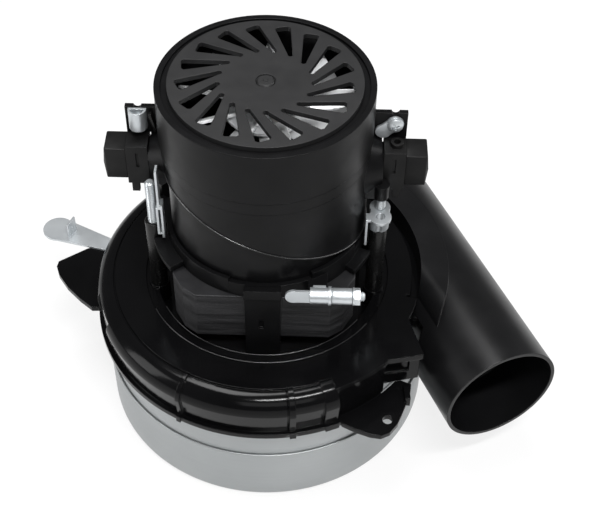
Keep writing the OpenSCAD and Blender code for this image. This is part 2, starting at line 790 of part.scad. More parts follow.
module top_grille() {
    boss_r = 3.9;
    color([0.14, 0.14, 0.15]) turned() translate([0, 0, seat_z + fit]) difference() {
        union() {
            cylinder(r = grille_r, h = grille_t);
            translate([0, 0, -3]) cylinder(r = boss_r + 1, h = 3 + eps);
        }
        for (i = [0:grille_slots - 1]) rotate([0, 0, 58.2 - motor_turn + i * 360 / grille_slots])
            translate([0, 0, -1]) linear_extrude(grille_t + 2) grille_slot();
        translate([0, 0, grille_t - 0.6]) cylinder(r = boss_r, h = 1);
        translate([0, 0, -4]) cylinder(r = 2 + fit, h = 10);
    }
}

module grille_button() {
    color([0.13, 0.13, 0.14]) translate([0, 0, seat_z + fit]) {
        translate([0, 0, grille_t - 0.6]) cylinder(r1 = 3.6, r2 = 2.9, h = 0.8);
        translate([0, 0, grille_t]) cylinder(r = 0.9, h = 0.6);
        translate([0, 0, -2.6]) cylinder(r = 2, h = grille_t + 2.2);
    }
}

// Cooling fan: a hub with pitched flat blades
module cooling_fan() {
    blade_h = 9;
    color("white") translate([0, 0, fan_z]) difference() {
        union() {
            cylinder(r = 8, h = fan_hub_h);
            translate([0, 0, 4]) cylinder(r = 17, h = 1.2);
            for (i = [0:fan_blades - 1]) rotate([0, 0, i * 360 / fan_blades])
                translate([6, 0, blade_h / 2]) rotate([38, 0, 0])
                    translate([0, -6.2, -0.6]) cube([fan_d / 2 - 7, 12.4, 1.2]);
        }
        translate([0, 0, -1]) cylinder(r = shaft_thin + fit, h = fan_hub_h + 2);
        difference() {
            translate([0, 0, -3]) cylinder(r = fan_d, h = 20);
            translate([0, 0, -4]) cylinder(d = fan_d, h = 24);
        }
    }
}

module fan_nut() {
    z = fan_z + fan_hub_h;
    color("silver") translate([0, 0, z]) difference() {
        cylinder(r = 5.5, h = 1.8, $fn = 6);
        translate([0, 0, -1]) cylinder(r = shaft_thin + fit, h = 6);
    }
}

// Brush gear, drawn on the +X side and mirrored for the other

module brush(side) {
    tip = commutator_d / 2 + 0.1;
    color([0.2, 0.2, 0.2]) turned() sided(side) difference() {
        translate([tip - 1, -brush_w / 2, brush_z - brush_h / 2])
            cube([brush_len + 1, brush_w, brush_h]);
        translate([0, 0, brush_z - brush_h]) cylinder(r = tip, h = 2 * brush_h);
    }
}

spring_r = 2.4;
wire_r = 0.35;
spring_in = commutator_d / 2 + 0.1 + brush_len + 0.1;
spring_out = holder_out - 0.2;

// Points of a ring of the wire's section, at turn angle a along the spring
function spring_ring(a, turns, len, sides) = let(
    c = [spring_r * cos(a), spring_r * sin(a)],
    x = wire_r + (len - 2 * wire_r) * a / (360 * turns))
    [for (k = [0:sides - 1]) let(b = k * 360 / sides, q = spring_r + wire_r * cos(b))
        [q * cos(a), q * sin(a), x + wire_r * sin(b)]];

module brush_spring(side) {
    turns = 8;
    steps = 12;
    sides = 6;
    len = spring_out - spring_in;
    n = turns * steps;
    points = [for (i = [0:n]) each spring_ring(i * 360 / steps, turns, len, sides)];
    walls = [for (i = [0:n - 1], k = [0:sides - 1]) let(m = (k + 1) % sides)
        [i * sides + k, i * sides + m, (i + 1) * sides + m, (i + 1) * sides + k]];
    ends = [[for (k = [sides - 1:-1:0]) k], [for (k = [0:sides - 1]) n * sides + k]];
    color("silver") turned() sided(side) translate([spring_in, 0, brush_z]) rotate([0, 90, 0])
        polyhedron(points, concat(walls, ends));
}

module brush_holder(side) {
    bore_w = brush_w + 2 * gap;
    bore_h = brush_h + 2 * gap;
    color([0.1, 0.1, 0.11]) turned() sided(side) difference() {
        union() {
            translate([holder_in, -sleeve_half_w, brush_z - sleeve_half_h])
                cube([mid_in - holder_in + 1, 2 * sleeve_half_w, 2 * sleeve_half_h]);
            translate([mid_in, -mid_front, brush_z - mid_half_h])
                cube([holder_out - mid_in, mid_front + mid_back, 2 * mid_half_h]);
            translate([mid_in + 4.5, -mid_front, brush_z - mid_half_h - 4.4]) cube([3, 2, 6]);
            translate([mid_in, -3, brush_z - mid_half_h - 2.8]) cube([1.6, 4, 4]);
            if (side > 0) translate([mid_in + 5.1, 0, brush_z + mid_half_h - eps]) cylinder(r = 2.6, h = 2.2);
        }
        translate([holder_in - 1, -bore_w / 2, brush_z - bore_h / 2]) cube([80, bore_w, bore_h]);
        if (side > 0) translate([mid_in + 5.1, 0, brush_z + mid_half_h - 1]) cylinder(r = 1.4, h = 4);
        translate([mid_in + 3.7, -mid_front - 1, brush_z - 1]) cube([1.2, 1.8, 7.4]);
    }
}

module brush_cap(side) {
    w = 11;
    h = 15.2;
    bevel = 1.2;
    lip = 0.8;
    color([0.13, 0.13, 0.14]) turned() sided(side) translate([holder_out, 0.4, brush_z + 0.6]) {
        intersection() {
            translate([0, 0, -h / 2]) linear_extrude(h)
                polygon([[0, -w / 2], [cap_len - bevel, -w / 2], [cap_len, -w / 2 + bevel],
                         [cap_len, w / 2 - bevel], [cap_len - bevel, w / 2], [0, w / 2]]);
            rotate([90, 0, 0]) translate([0, 0, -w]) linear_extrude(2 * w)
                polygon([[0, -h / 2], [cap_len - lip, -h / 2], [cap_len, 0], [cap_len - lip, h / 2],
                         [0, h / 2]]);
        }
    }
}

// Zinc clip held on the plate behind it: flat with two round ends on the right side, and folded
// round the screw's head on the left
module holder_clip(side) {
    reach = 5.8;
    fold_r = 3.6;
    color("silver") turned() sided(side) translate([clip_x, plate_y, clip_z]) rotate([90, 0, 0])
        difference() {
            if (side > 0) rotate([0, 0, 221]) {
                cylinder(r = 3.4, h = 1);
                translate([reach, 0, 0]) cylinder(r = 3.2, h = 1);
                translate([0, -3, 0]) cube([reach, 6, 1]);
            } else {
                translate([-fold_r, -4.5, 0]) cube([2 * fold_r, 9, 1]);
                translate([0, 4.5, 0.8]) rotate([90, 0, 0]) arc_wall(fold_r - 0.8, fold_r, 9, 0, 180);
            }
            translate([0, 0, -1]) cylinder(r = 1.65, h = 3);
        }
}

module clip_screw(side) {
    color("silver") turned() sided(side) translate([clip_x, plate_y - 1, clip_z]) rotate([90, 0, 0])
        difference() {
            union() {
                intersection() {
                    cylinder(r = side < 0 ? 2 : 3.1, h = 2);
                    translate([0, 0, -3.4]) sphere(r = 5.4);
                }
                translate([0, 0, -4.2]) cylinder(r = 1.6, h = 5);
            }
            for (a = [20, 110]) rotate([0, 0, a]) translate([-1.7, -0.35, 1.2]) cube([3.4, 0.7, 2]);
        }
}

module post_screw(side) {
    color("silver") turned() sided(side) translate([post_x, post_y, well_floor])
        cylinder(d = post_d, h = lug_top - 1.8 - well_floor);
}

module post_sleeve(side) {
    color([0.1, 0.1, 0.11]) turned() sided(side) translate([post_x, post_y, plate_top])
        tube(sleeve_r, post_d / 2 + fit, sleeve_top - plate_top);
}

// Flat insulated lead that drops from the clip plate to the strip beside the housing
module brush_lead_left() {
    color([0.08, 0.08, 0.08]) turned() sided(-1)
        translate([can_r + 3.4, plate_y - 2.6, clip_z + 3]) rotate([0, 12, 0])
            translate([-0.7, 0, -9.2]) cube([1.4, 2.6, 9.2]);
}

strip_t = 0.9;

// Strip that runs down beside the housing, with a jog and a fold under the slanted edge
module lead_strip_left() {
    top = brush_z + 8;
    jog = core_top + 24;
    jog_in = min(strip_in, can_r + 0.1);
    jog_out = max(strip_in + 2, can_r + 1);
    color("silver") turned() sided(-1) {
        translate([can_r + 0.1, -15.5, jog]) cube([strip_t, 4.5, top - jog - 2]);
        translate([jog_in, -15.5, jog - 2]) cube([jog_out - jog_in, 4.5, 2.2]);
        translate([strip_in, -15.5, ring_top - 1]) cube([strip_t, 4.5, jog - ring_top]);
        translate([strip_in + 1.8, -15.5, jog - 16]) cube([strip_t, 3.5, 15]);
        translate([strip_in, -15.5, jog - 16]) cube([2.7, 3.5, 0.9]);
    }
}

// Eyelet plate on the right screw, with a barrel round the screw and a strip down to the field
module eyelet_bracket_right() {
    barrel_r = sleeve_r + 0.6;
    barrel_h = 11;
    ahead = 5.6;                      // distance of the free eyelet in front of the screw
    color("silver") turned() difference() {
        union() {
            translate([post_x, post_y, sleeve_top]) cylinder(r = barrel_r, h = barrel_h);
            translate([0, 0, sleeve_top + barrel_h - 1.2]) linear_extrude(1.2) {
                translate([post_x, post_y - ahead]) circle(4.5);
                translate([post_x - 3.8, post_y - ahead]) square([7.6, ahead]);
                translate([strip_in - 0.6, post_y - ahead - 2.4])
                    square([post_x - strip_in + 1.6, 4]);
            }
            translate([strip_in - 0.6, post_y - ahead - 2.4, ring_top - 1])
                cube([strip_t, 4, sleeve_top + barrel_h - ring_top + 0.6]);
        }
        translate([post_x, post_y, sleeve_top - 1]) cylinder(d = post_d + 2 * fit, h = 20);
        translate([post_x, post_y - ahead, sleeve_top]) cylinder(r = 2, h = 20);
    }
}

// Clamp lug on the front of the field frame, lying along X
lug_y = -ring_r - 3.5;
lug_seat = lug_y + 3.7;               // face that the clamp lug stands on
lug_z = ring_top - 0.4;
lug_r = 3.3;

module lug_clamp() {
    color("silver") turned() translate([0, lug_y, lug_z]) {
        difference() {
            union() {
                translate([18.8, 0, 0]) rotate([0, 90, 0]) cylinder(r = lug_r, h = 8);
                translate([26, 0, 0]) rotate([0, 90, 0]) cylinder(r = lug_r + 0.5, h = 1.2);
                translate([12.4, 0, -0.6]) rotate([90, 0, 0]) translate([0, 0, -0.4])
                    linear_extrude(1.1) {
                        circle(3.4);
                        translate([0, -3.2]) square([7, 6.4]);
                    }
            }
            translate([19.4, 0, 0]) rotate([0, 90, 0]) cylinder(r = 2 + fit, h = 20);
        }
        translate([20, lug_r - 0.6, -2]) cube([5, lug_seat - lug_y - lug_r + 0.6, 4]);
    }
}

module lug_screw() {
    color("silver") turned() translate([0, lug_y, lug_z]) rotate([0, 90, 0]) {
        translate([0, 0, 20]) cylinder(r = 2, h = 20.5);
        translate([0, 0, 27.3]) difference() {
            cylinder(r = lug_r, h = 8.2);
            translate([0, 0, -1]) cylinder(r = 1.9, h = 10);
        }
    }
}

module lug_nut() {
    color("silver") turned() translate([0, lug_y, lug_z]) rotate([0, 90, 0]) translate([0, 0, 35.6])
        difference() {
            union() {
                cylinder(r = 3.6, h = 0.8);
                cylinder(r = 3.5, h = 3, $fn = 6);
            }
            translate([0, 0, -1]) cylinder(r = 2 + fit, h = 6);
        }
}

// Ground strap: a plate that widens to a round end, with an upright blade
module ground_strap() {
    near = [case_r + 2, 3];
    end_r = 7.1;
    end_x = 107;
    lean = asin((end_r - near[1]) / (end_x - near[0]));
    edge = 0.96 * end_r * [sin(-lean), cos(lean)];
    color("silver") rotate([0, 0, strap_turn]) translate([0, 0, strap_z]) difference() {
        union() {
            linear_extrude(strap_t) {
                translate([end_x, 0]) circle(end_r);
                polygon([[near[0], near[1]], [end_x + edge[0], edge[1]],
                         [end_x + edge[0], -edge[1]], [near[0], -near[1]]]);
                translate([ground_x - 2.2, -near[1]]) square([near[0] - ground_x + 2.4, 2 * near[1]]);
            }
            translate([end_x - 8, -3.1, 0]) cube([0.8, 6.3, 9]);
        }
        translate([ground_x, 0, -1]) cylinder(r = ground_r + fit, h = 4);
    }
}

module ground_screw() {
    color("silver") rotate([0, 0, strap_turn]) translate([ground_x, 0, case_h - 4]) {
        cylinder(r = ground_r, h = 4.5 + strap_t);
        translate([0, 0, 4 + strap_t]) cylinder(r1 = 1.9, r2 = 1.4, h = 1);
    }
}

fan_shell_lower();
fan_shell_upper();
fan_bracket();
discharge_horn();
impeller(0);  // impeller_1
impeller(1);  // impeller_2
impeller(2);  // impeller_3
diffuser(0);  // diffuser_1
diffuser(1);  // diffuser_2
impeller_spacers();
impeller_nut();
air_seal();
lower_bearing();
upper_bearing();
shaft();
armature_core();
armature_windings();
commutator();
cooling_fan();
fan_nut();
field_frame();
field_core();
field_coil(-1);  // field_coil_left
field_coil(1);  // field_coil_right
field_cover();
motor_housing();
top_grille();
grille_button();
brush(-1);  // brush_left
brush(1);  // brush_right
brush_spring(-1);  // brush_spring_left
brush_spring(1);  // brush_spring_right
brush_holder(-1);  // brush_holder_left
brush_holder(1);  // brush_holder_right
brush_cap(-1);  // brush_cap_left
brush_cap(1);  // brush_cap_right
holder_clip(-1);  // holder_clip_left
holder_clip(1);  // holder_clip_right
clip_screw(-1);  // clip_screw_left
clip_screw(1);  // clip_screw_right
post_screw(-1);  // post_screw_left
post_screw(1);  // post_screw_right
post_sleeve(-1);  // post_sleeve_left
post_sleeve(1);  // post_sleeve_right
brush_lead_left();
lead_strip_left();
eyelet_bracket_right();
lug_clamp();
lug_screw();
lug_nut();
ground_strap();
ground_screw();
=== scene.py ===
"""Looks of the vacuum motor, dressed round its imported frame.

Lengths are in metres, and angles in radians where nothing else is said.
"""

import logging
import math
from dataclasses import dataclass
from enum import Enum

import bmesh
import bpy
import numpy as np
from mathutils import Matrix, Vector


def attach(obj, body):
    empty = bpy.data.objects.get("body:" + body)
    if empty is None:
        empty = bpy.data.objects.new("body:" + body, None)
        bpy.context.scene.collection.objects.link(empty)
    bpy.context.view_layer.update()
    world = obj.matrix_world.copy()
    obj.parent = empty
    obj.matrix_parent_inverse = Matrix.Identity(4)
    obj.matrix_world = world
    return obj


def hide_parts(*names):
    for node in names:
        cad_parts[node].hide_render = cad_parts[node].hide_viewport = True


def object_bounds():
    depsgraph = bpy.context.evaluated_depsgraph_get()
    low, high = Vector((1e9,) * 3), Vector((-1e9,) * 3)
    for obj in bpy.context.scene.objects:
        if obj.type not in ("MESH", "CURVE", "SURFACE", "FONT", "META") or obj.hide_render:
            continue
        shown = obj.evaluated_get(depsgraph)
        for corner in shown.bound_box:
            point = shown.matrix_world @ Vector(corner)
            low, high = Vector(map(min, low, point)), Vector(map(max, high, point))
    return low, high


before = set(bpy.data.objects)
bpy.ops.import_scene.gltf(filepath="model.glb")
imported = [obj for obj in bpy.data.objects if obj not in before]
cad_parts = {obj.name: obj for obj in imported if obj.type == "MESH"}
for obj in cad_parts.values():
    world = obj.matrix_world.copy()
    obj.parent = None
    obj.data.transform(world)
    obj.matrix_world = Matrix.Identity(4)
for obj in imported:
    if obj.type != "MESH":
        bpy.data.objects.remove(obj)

LOG = logging.getLogger("vacuum_motor")
CAD_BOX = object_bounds()
Colour = tuple[float, float, float]
Axes = tuple[float, float, float]
Grid = np.ndarray

# The motor above the fan case is turned about the shaft by this much
MOTOR_TURN = math.radians(-2.7)
# The part of a noise pattern's range that is spread over a finish's two ends
MIDDLE = (0.3, 0.7)
# Size of the gloss's patches against those of the tone
CLOUD = 0.4
# Points of a CAD mesh nearer than this are one, and faces this flat to each other are merged
WELD = 3e-6
FLAT = math.radians(0.3)


class Body(Enum):
    """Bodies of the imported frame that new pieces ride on."""

    MOTOR = "motor"
    ROTOR = "rotor"


class Side(Enum):
    """The two sides of the motor, as the sign of X in the motor's own frame."""

    LEFT = -1
    RIGHT = 1


# Finishes


class Recipe:
    """The node tree of one finish, with helpers for patterns that follow the object's own place."""

    def __init__(self, name: str) -> None:
        """Starts an empty tree with one shader.

        Args:
            name: Name of the Blender material.
        """
        self.material = bpy.data.materials.new(name)
        self.material.use_nodes = True
        self.tree = self.material.node_tree
        self.tree.nodes.clear()
        self.shader = self.add("ShaderNodeBsdfPrincipled")
        output = self.add("ShaderNodeOutputMaterial")
        self.link(self.shader.outputs[0], output.inputs[0])
        self.place = self.add("ShaderNodeTexCoord").outputs["Object"]

    def add(self, kind: str) -> bpy.types.Node:
        """Adds a node.

        Args:
            kind: Blender's name for the kind of node.

        Returns:
            The node.
        """
        return self.tree.nodes.new(kind)

    def link(self, out: bpy.types.NodeSocket, into: bpy.types.NodeSocket) -> None:
        """Joins two sockets.

        Args:
            out: The socket that gives a value.
            into: The socket that takes it.
        """
        self.tree.links.new(out, into)

    def set(self, **values: float | Colour) -> None:
        """Puts plain values on the shader's own sockets.

        Args:
            values: Socket names, with _ for a space, and their values.
        """
        for name, value in values.items():
            socket = self.shader.inputs[name.replace("_", " ")]
            socket.default_value = (*value, 1.0) if isinstance(value, tuple) else value

    def noise(self, size: float, stretch: Axes = (1, 1, 1), detail: float = 3) -> bpy.types.NodeSocket:
        """A cloudy pattern.

        Args:
            size: Size of one patch.
            stretch: How much finer the pattern is along each axis.
            detail: Octaves of finer patches.

        Returns:
            The pattern's value, from 0 to 1.
        """
        mapping = self.add("ShaderNodeMapping")
        mapping.inputs["Scale"].default_value = stretch
        self.link(self.place, mapping.inputs["Vector"])
        noise = self.add("ShaderNodeTexNoise")
        noise.inputs["Scale"].default_value = 1 / size
        noise.inputs["Detail"].default_value = detail
        self.link(mapping.outputs[0], noise.inputs["Vector"])
        return noise.outputs["Fac"]

    def between(self, value: bpy.types.NodeSocket, low: float, high: float) -> bpy.types.NodeSocket:
        """Spreads the middle of a pattern over a range of values.

        Args:
            value: The pattern.
            low: Value at the pattern's dark patches.
            high: Value at its pale patches.

        Returns:
            The spread value.
        """
        spread = self.add("ShaderNodeMapRange")
        ends = {"From Min": MIDDLE[0], "From Max": MIDDLE[1], "To Min": low, "To Max": high}
        for name, number in ends.items():
            spread.inputs[name].default_value = number
        self.link(value, spread.inputs["Value"])
        return spread.outputs[0]

    def tones(self, value: bpy.types.NodeSocket, dark: Colour, pale: Colour) -> bpy.types.NodeSocket:
        """Mixes two colours by a pattern.

        Args:
            value: The pattern.
            dark: Colour at its dark patches.
            pale: Colour at its pale patches.

        Returns:
            The mixed colour.
        """
        mix = self.add("ShaderNodeMix")
        mix.data_type = "RGBA"
        mix.inputs[6].default_value = (*dark, 1)
        mix.inputs[7].default_value = (*pale, 1)
        self.link(self.between(value, 0, 1), mix.inputs[0])
        return mix.outputs[2]

    def relief(self, value: bpy.types.NodeSocket, height: float, edge: float) -> None:
        """Raises the surface by a pattern, over corners that catch the light as rounded ones do.

        Args:
            value: The pattern.
            height: Height of the pattern's pale patches.
            edge: Radius of the corners.
        """
        corner = self.add("ShaderNodeBevel")
        corner.samples = 6
        corner.inputs["Radius"].default_value = edge
        bump = self.add("ShaderNodeBump")
        bump.inputs["Distance"].default_value = height
        self.link(value, bump.inputs["Height"])
        self.link(corner.outputs[0], bump.inputs["Normal"])
        self.link(bump.outputs[0], self.shader.inputs["Normal"])


@dataclass(frozen=True)
class Finish:
    """A surface whose tone and gloss drift over broad patches, with a fine grain on top.

    Attributes:
        slot: The record's name of the material slot.
        dark: Colour of the dark patches.
        pale: Colour of the pale patches.
        gloss: Roughness at both ends of the cloudy pattern.
        patch: Size of one patch.
        grain: Size of one grain of the relief.
        height: Height of the relief.
        metallic: Share of metal.
        specular: Strength of the plain reflection.
        stretch: How much finer the patterns are along each axis.
        edge: Radius of the corners that catch the light.
        variant: Ending of the name, for a second look in the same slot.
    """

    slot: str
    dark: Colour
    pale: Colour
    gloss: tuple[float, float] = (0.3, 0.4)
    patch: float = 0.012
    grain: float = 0.0005
    height: float = 4e-6
    metallic: float = 0.0
    specular: float = 0.5
    stretch: Axes = (1, 1, 1)
    edge: float = 0.0004
    variant: str = ""

    def build(self, recipe: Recipe) -> None:
        """Fills a recipe with this finish.

        Args:
            recipe: The empty recipe.
        """
        recipe.set(Metallic=self.metallic, Specular_IOR_Level=self.specular)
        broad = recipe.noise(self.patch, self.stretch)
        recipe.link(recipe.tones(broad, self.dark, self.pale), recipe.shader.inputs["Base Color"])
        cloud = recipe.noise(self.patch * CLOUD, self.stretch, 4)
        recipe.link(recipe.between(cloud, *self.gloss), recipe.shader.inputs["Roughness"])
        recipe.relief(recipe.noise(self.grain, self.stretch, 2), self.height, self.edge)

    def material(self) -> bpy.types.Material:
        """The finish as a Blender material.

        Returns:
            The material, which is made only once.
        """
        name = f"finish_{self.slot}{self.variant}"
        made = bpy.data.materials.get(name)
        if made is None:
            recipe = Recipe(name)
            self.build(recipe)
            made = recipe.material
        return made


@dataclass(frozen=True)
class StreakedFinish(Finish):
    """A drawn or ground metal: fine streaks run one way over the cloudy patches.

    Attributes:
        streak: Width of one streak.
        along: How much finer the streaks are along each axis.
    """

    streak: float = 0.0004
    along: Axes = (0.02, 0.02, 1)

    def build(self, recipe: Recipe) -> None:
        """Fills a recipe with the patches, then lets the streaks roughen and score it.

        Args:
            recipe: The empty recipe.
        """
        super().build(recipe)
        lines = recipe.noise(self.streak, self.along, 4)
        recipe.link(recipe.between(lines, *self.gloss), recipe.shader.inputs["Roughness"])
        recipe.relief(lines, self.height, self.edge)


DRAWN_STEEL = StreakedFinish(
    "drawn_steel", (0.33, 0.345, 0.35), (0.385, 0.40, 0.405), (0.40, 0.50), 0.05, height=1.0e-6,
    metallic=0.8)
BLACK_MOULDING = Finish(
    "black_moulding", (0.0018, 0.0018, 0.0020), (0.0032, 0.0032, 0.0035), (0.11, 0.16), 0.03, 0.003, 1.5e-6,
    specular=0.14, edge=0.0006)
HORN_MOULDING = Finish(
    "horn_moulding", (0.0035, 0.0035, 0.0038), (0.0055, 0.0055, 0.0060), (0.28, 0.36), 0.03, 0.0012, 2e-6,
    specular=0.24, edge=0.0005)
MOTOR_MOULDING = Finish(
    "motor_moulding", (0.0028, 0.0028, 0.0030), (0.0046, 0.0046, 0.0050), (0.30, 0.40), 0.02, 0.0009, 3e-6,
    specular=0.12, edge=0.0005)
# A paler, glossier copy of the motor moulding: its tone is a painted highlight along the thin rounded lines
# on the well, its step and the housing's slanted edge
PAINTED_HIGHLIGHT_EDGE = Finish(
    "motor_moulding", (0.010, 0.010, 0.0105), (0.014, 0.014, 0.0145), (0.20, 0.28), 0.01, 0.0006, 1e-6,
    specular=0.7, variant="_edge")
GRILLE_PLASTIC = Finish(
    "grille_plastic", (0.0105, 0.0105, 0.0110), (0.0145, 0.0145, 0.0150), (0.42, 0.52), 0.015, 0.0006, 4e-6,
    specular=0.3)
HOLDER_PLASTIC = Finish(
    "holder_plastic", (0.0045, 0.0045, 0.0046), (0.0075, 0.0074, 0.0074), (0.36, 0.48), 0.008, 0.0006, 4e-6,
    specular=0.16)
SLEEVE_RUBBER = Finish(
    "sleeve_rubber", (0.0050, 0.0050, 0.0050), (0.0080, 0.0080, 0.0080), (0.24, 0.32), 0.008, 0.0006, 2e-6,
    specular=0.25)
SEAL_PLASTIC = Finish("seal_plastic", (0.10, 0.10, 0.10), (0.14, 0.14, 0.14), (0.5, 0.6))
ZINC = Finish(
    "zinc_plate", (0.55, 0.58, 0.60), (0.62, 0.65, 0.67), (0.30, 0.38), 0.02, 0.003, 3.0e-7, 0.75,
    edge=0.0002)
FAN_ALLOY = StreakedFinish(
    "fan_alloy", (0.70, 0.71, 0.72), (0.80, 0.81, 0.82), (0.35, 0.5), 0.02, height=3e-6, metallic=1.0,
    along=(1, 0.05, 0.05))
# Partly painted light: the fan's own pale metal, lifted nearly white and made less metallic so that it looks
# lit where it sits in shade under the grille
COOLING_FAN_AND_PAINTED_LIGHT = StreakedFinish(
    "cooling_fan_metal", (0.86, 0.87, 0.88), (0.92, 0.93, 0.94), (0.35, 0.45), 0.02, height=1.0e-6,
    metallic=0.35, along=(1, 0.05, 0.05))
SPACER_STEEL = StreakedFinish(
    "spacer_steel", (0.48, 0.48, 0.49), (0.58, 0.58, 0.59), (0.35, 0.5), metallic=1.0)
BEARING_STEEL = StreakedFinish(
    "bearing_steel", (0.62, 0.62, 0.63), (0.74, 0.74, 0.75), (0.15, 0.25), metallic=1.0)
GROUND_SHAFT = StreakedFinish(
    "ground_shaft", (0.62, 0.62, 0.63), (0.74, 0.74, 0.75), (0.18, 0.3), metallic=1.0)
SPRING_STEEL = Finish("spring_steel", (0.42, 0.42, 0.43), (0.55, 0.55, 0.56), (0.3, 0.4), metallic=1.0)
LAMINATED = StreakedFinish(
    "laminated_steel", (0.004, 0.004, 0.005), (0.032, 0.032, 0.034), (0.34, 0.46), 0.0012, 0.0005, 4e-6,
    0.3, stretch=(0.05, 0.05, 1), streak=0.0006)
WIRE = StreakedFinish(
    "enamelled_wire", (0.24, 0.08, 0.03), (0.45, 0.18, 0.07), (0.25, 0.4), 0.0012, height=6e-5,
    metallic=0.3, stretch=(0.1, 0.1, 1), streak=0.0007)
COPPER = StreakedFinish(
    "commutator_copper", (0.56, 0.28, 0.15), (0.72, 0.42, 0.25), (0.25, 0.4), metallic=1.0)
CARBON = Finish("carbon", (0.035, 0.035, 0.036), (0.06, 0.06, 0.06), (0.5, 0.7), 0.002, 0.0003, 1e-5)


# Surfaces


def arc(centre: tuple[float, float], radius: float, start: float, stop: float, count: int = 7) -> Grid:
    """Points on part of a circle: centre plus radius times the cosine and sine of an even run of angles.

    Args:
        centre: Centre of the circle.
        radius: Its radius.
        start: First angle, in degrees.
        stop: Last angle, in degrees.
        count: Number of points.

    Returns:
        An array of count by 2.
    """
    a = np.radians(np.linspace(start, stop, count))
    return np.array(centre) + radius * np.stack([np.cos(a), np.sin(a)], axis=1)


def lathe(profile: Grid, steps: int = 192) -> Grid:
    """A profile turned about Z: x and y are the radius times the turn's cosine and sine, z is the height.

    Args:
        profile: Radius and height of each row.
        steps: Columns round the turn.

    Returns:
        A grid of rows by steps by 3.
    """
    turn = np.linspace(0, 2 * np.pi, steps, endpoint=False)
    radius, height = profile[:, :1], profile[:, 1:]
    level = np.broadcast_to(height, (len(profile), steps))
    return np.stack([radius * np.cos(turn), radius * np.sin(turn), level], axis=-1)


@dataclass(frozen=True)
class Thread:
    """The thread of a screw, with a plain gap at both of its ends and a tip that draws in.

    Attributes:
        radius: Radius of the crest, and of the plain shank.
        pitch: Distance from one ridge to the next.
        ridge: Height of the crest above the root.
        tip: Length of the tip.
        taper: How far the tip draws in.
        gap: Plain length at each end of the thread.
        per_pitch: Rows to one pitch.
    """

    radius: float
    pitch: float
    ridge: float
    tip: float
    taper: float
    gap: float = 0.0001
    per_pitch: int = 6

    @property
    def core(self) -> float:
        """Radius at the thread's root."""
        return self.radius - self.ridge

    def rows(self, start: float, top: float) -> Grid:
        """Rows of the thread and of the tip that ends the screw.

        Args:
            start: Height of the thread's first row.
            top: Height of the screw's end.

        Returns:
            Height, core radius and ridge of each row.
        """
        stop = top - self.tip - self.gap
        height = np.linspace(start, stop, max(2, round(self.per_pitch * (stop - start) / self.pitch)))
        turns = np.stack([height, np.full_like(height, self.core), np.full_like(height, self.ridge)], axis=1)
        return np.concatenate([turns, [[top - self.tip, self.core, 0], [top, self.core - self.taper, 0]]])

    def rod(self, rows: Grid, steps: int = 30) -> Grid:
        """The whole screw: the radius grows by the row's ridge times a triangle wave of height over pitch
        less the turn's share, so that the ridge climbs one pitch a turn.

        Args:
            rows: Height, core radius and ridge of each row.
            steps: Columns round the rod.

        Returns:
            A grid of rows by steps by 3, along Z.
        """
        turn = np.linspace(0, 2 * np.pi, steps, endpoint=False)
        height, core, ridge = rows[:, :1], rows[:, 1:2], rows[:, 2:]
        phase = (height / self.pitch - turn / (2 * np.pi)) % 1
        radius = core + ridge * (1 - np.abs(2 * phase - 1))
        return np.stack([radius * np.cos(turn), radius * np.sin(turn), height + 0 * turn], axis=-1)


def bead(path: Grid, radius: float, sides: int = 10) -> Grid:
    """A round bead along a path about Z: each point moves out from the axis by the radius times the cosine
    of the section's angle, and up by the radius times its sine.

    Args:
        path: Points of the bead's centre line.
        radius: Radius of its section.
        sides: Columns round the section.

    Returns:
        A grid of points by sides by 3.
    """
    a = np.linspace(0, 2 * np.pi, sides, endpoint=False)
    out = path[:, None, :2] / np.linalg.norm(path[:, None, :2], axis=-1, keepdims=True)
    level = path[:, None, :2] + radius * np.cos(a)[:, None] * out
    height = path[:, None, 2:] + radius * np.sin(a)[:, None]
    return np.concatenate([level, height], axis=-1)


def placed(grid: Grid, matrix: Matrix) -> Grid:
    """Moves a grid: each point times the matrix's turn, plus its shift.

    Args:
        grid: The points.
        matrix: The move.

    Returns:
        The moved points.
    """
    m = np.array(matrix)
    return grid @ m[:3, :3].T + m[:3, 3]


def stand(name: str, data: bpy.types.ID) -> bpy.types.Object:
    """Makes an object of a mesh, a lamp or a camera and puts it into the scene.

    Args:
        name: Name of the object.
        data: What it is made of.

    Returns:
        The object.
    """
    thing = bpy.data.objects.new(name, data)
    bpy.context.scene.collection.objects.link(thing)
    return thing


def put(name: str, grid: Grid, ring: bool = False, crease: float = 40) -> bpy.types.Object:
    """Makes a piece of a grid that closes on itself column by column.

    Args:
        name: Name of the piece.
        grid: Rows by columns by 3.
        ring: Whether the last row joins the first. If not, both ends get a cap.
        crease: Angle past which an edge stays sharp, in degrees.

    Returns:
        The piece.
    """
    rows, columns = grid.shape[:2]
    index = np.arange(rows * columns).reshape(rows, columns)
    closed = np.hstack([index, index[:, :1]])
    if ring:
        closed = np.vstack([closed, closed[:1]])
    quads = np.stack([closed[:-1, :-1], closed[:-1, 1:], closed[1:, 1:], closed[1:, :-1]], axis=-1)
    faces = quads.reshape(-1, 4).tolist()
    if not ring:
        faces += [index[0, ::-1].tolist(), index[-1].tolist()]
    mesh = bpy.data.meshes.new(name)
    mesh.from_pydata(grid.reshape(-1, 3).tolist(), [], faces)
    work = bmesh.new()
    work.from_mesh(mesh)
    bmesh.ops.recalc_face_normals(work, faces=work.faces)
    work.to_mesh(mesh)
    work.free()
    mesh.polygons.foreach_set("use_smooth", np.ones(len(mesh.polygons), bool))
    mesh.set_sharp_from_angle(angle=math.radians(crease))
    return stand(name, mesh)


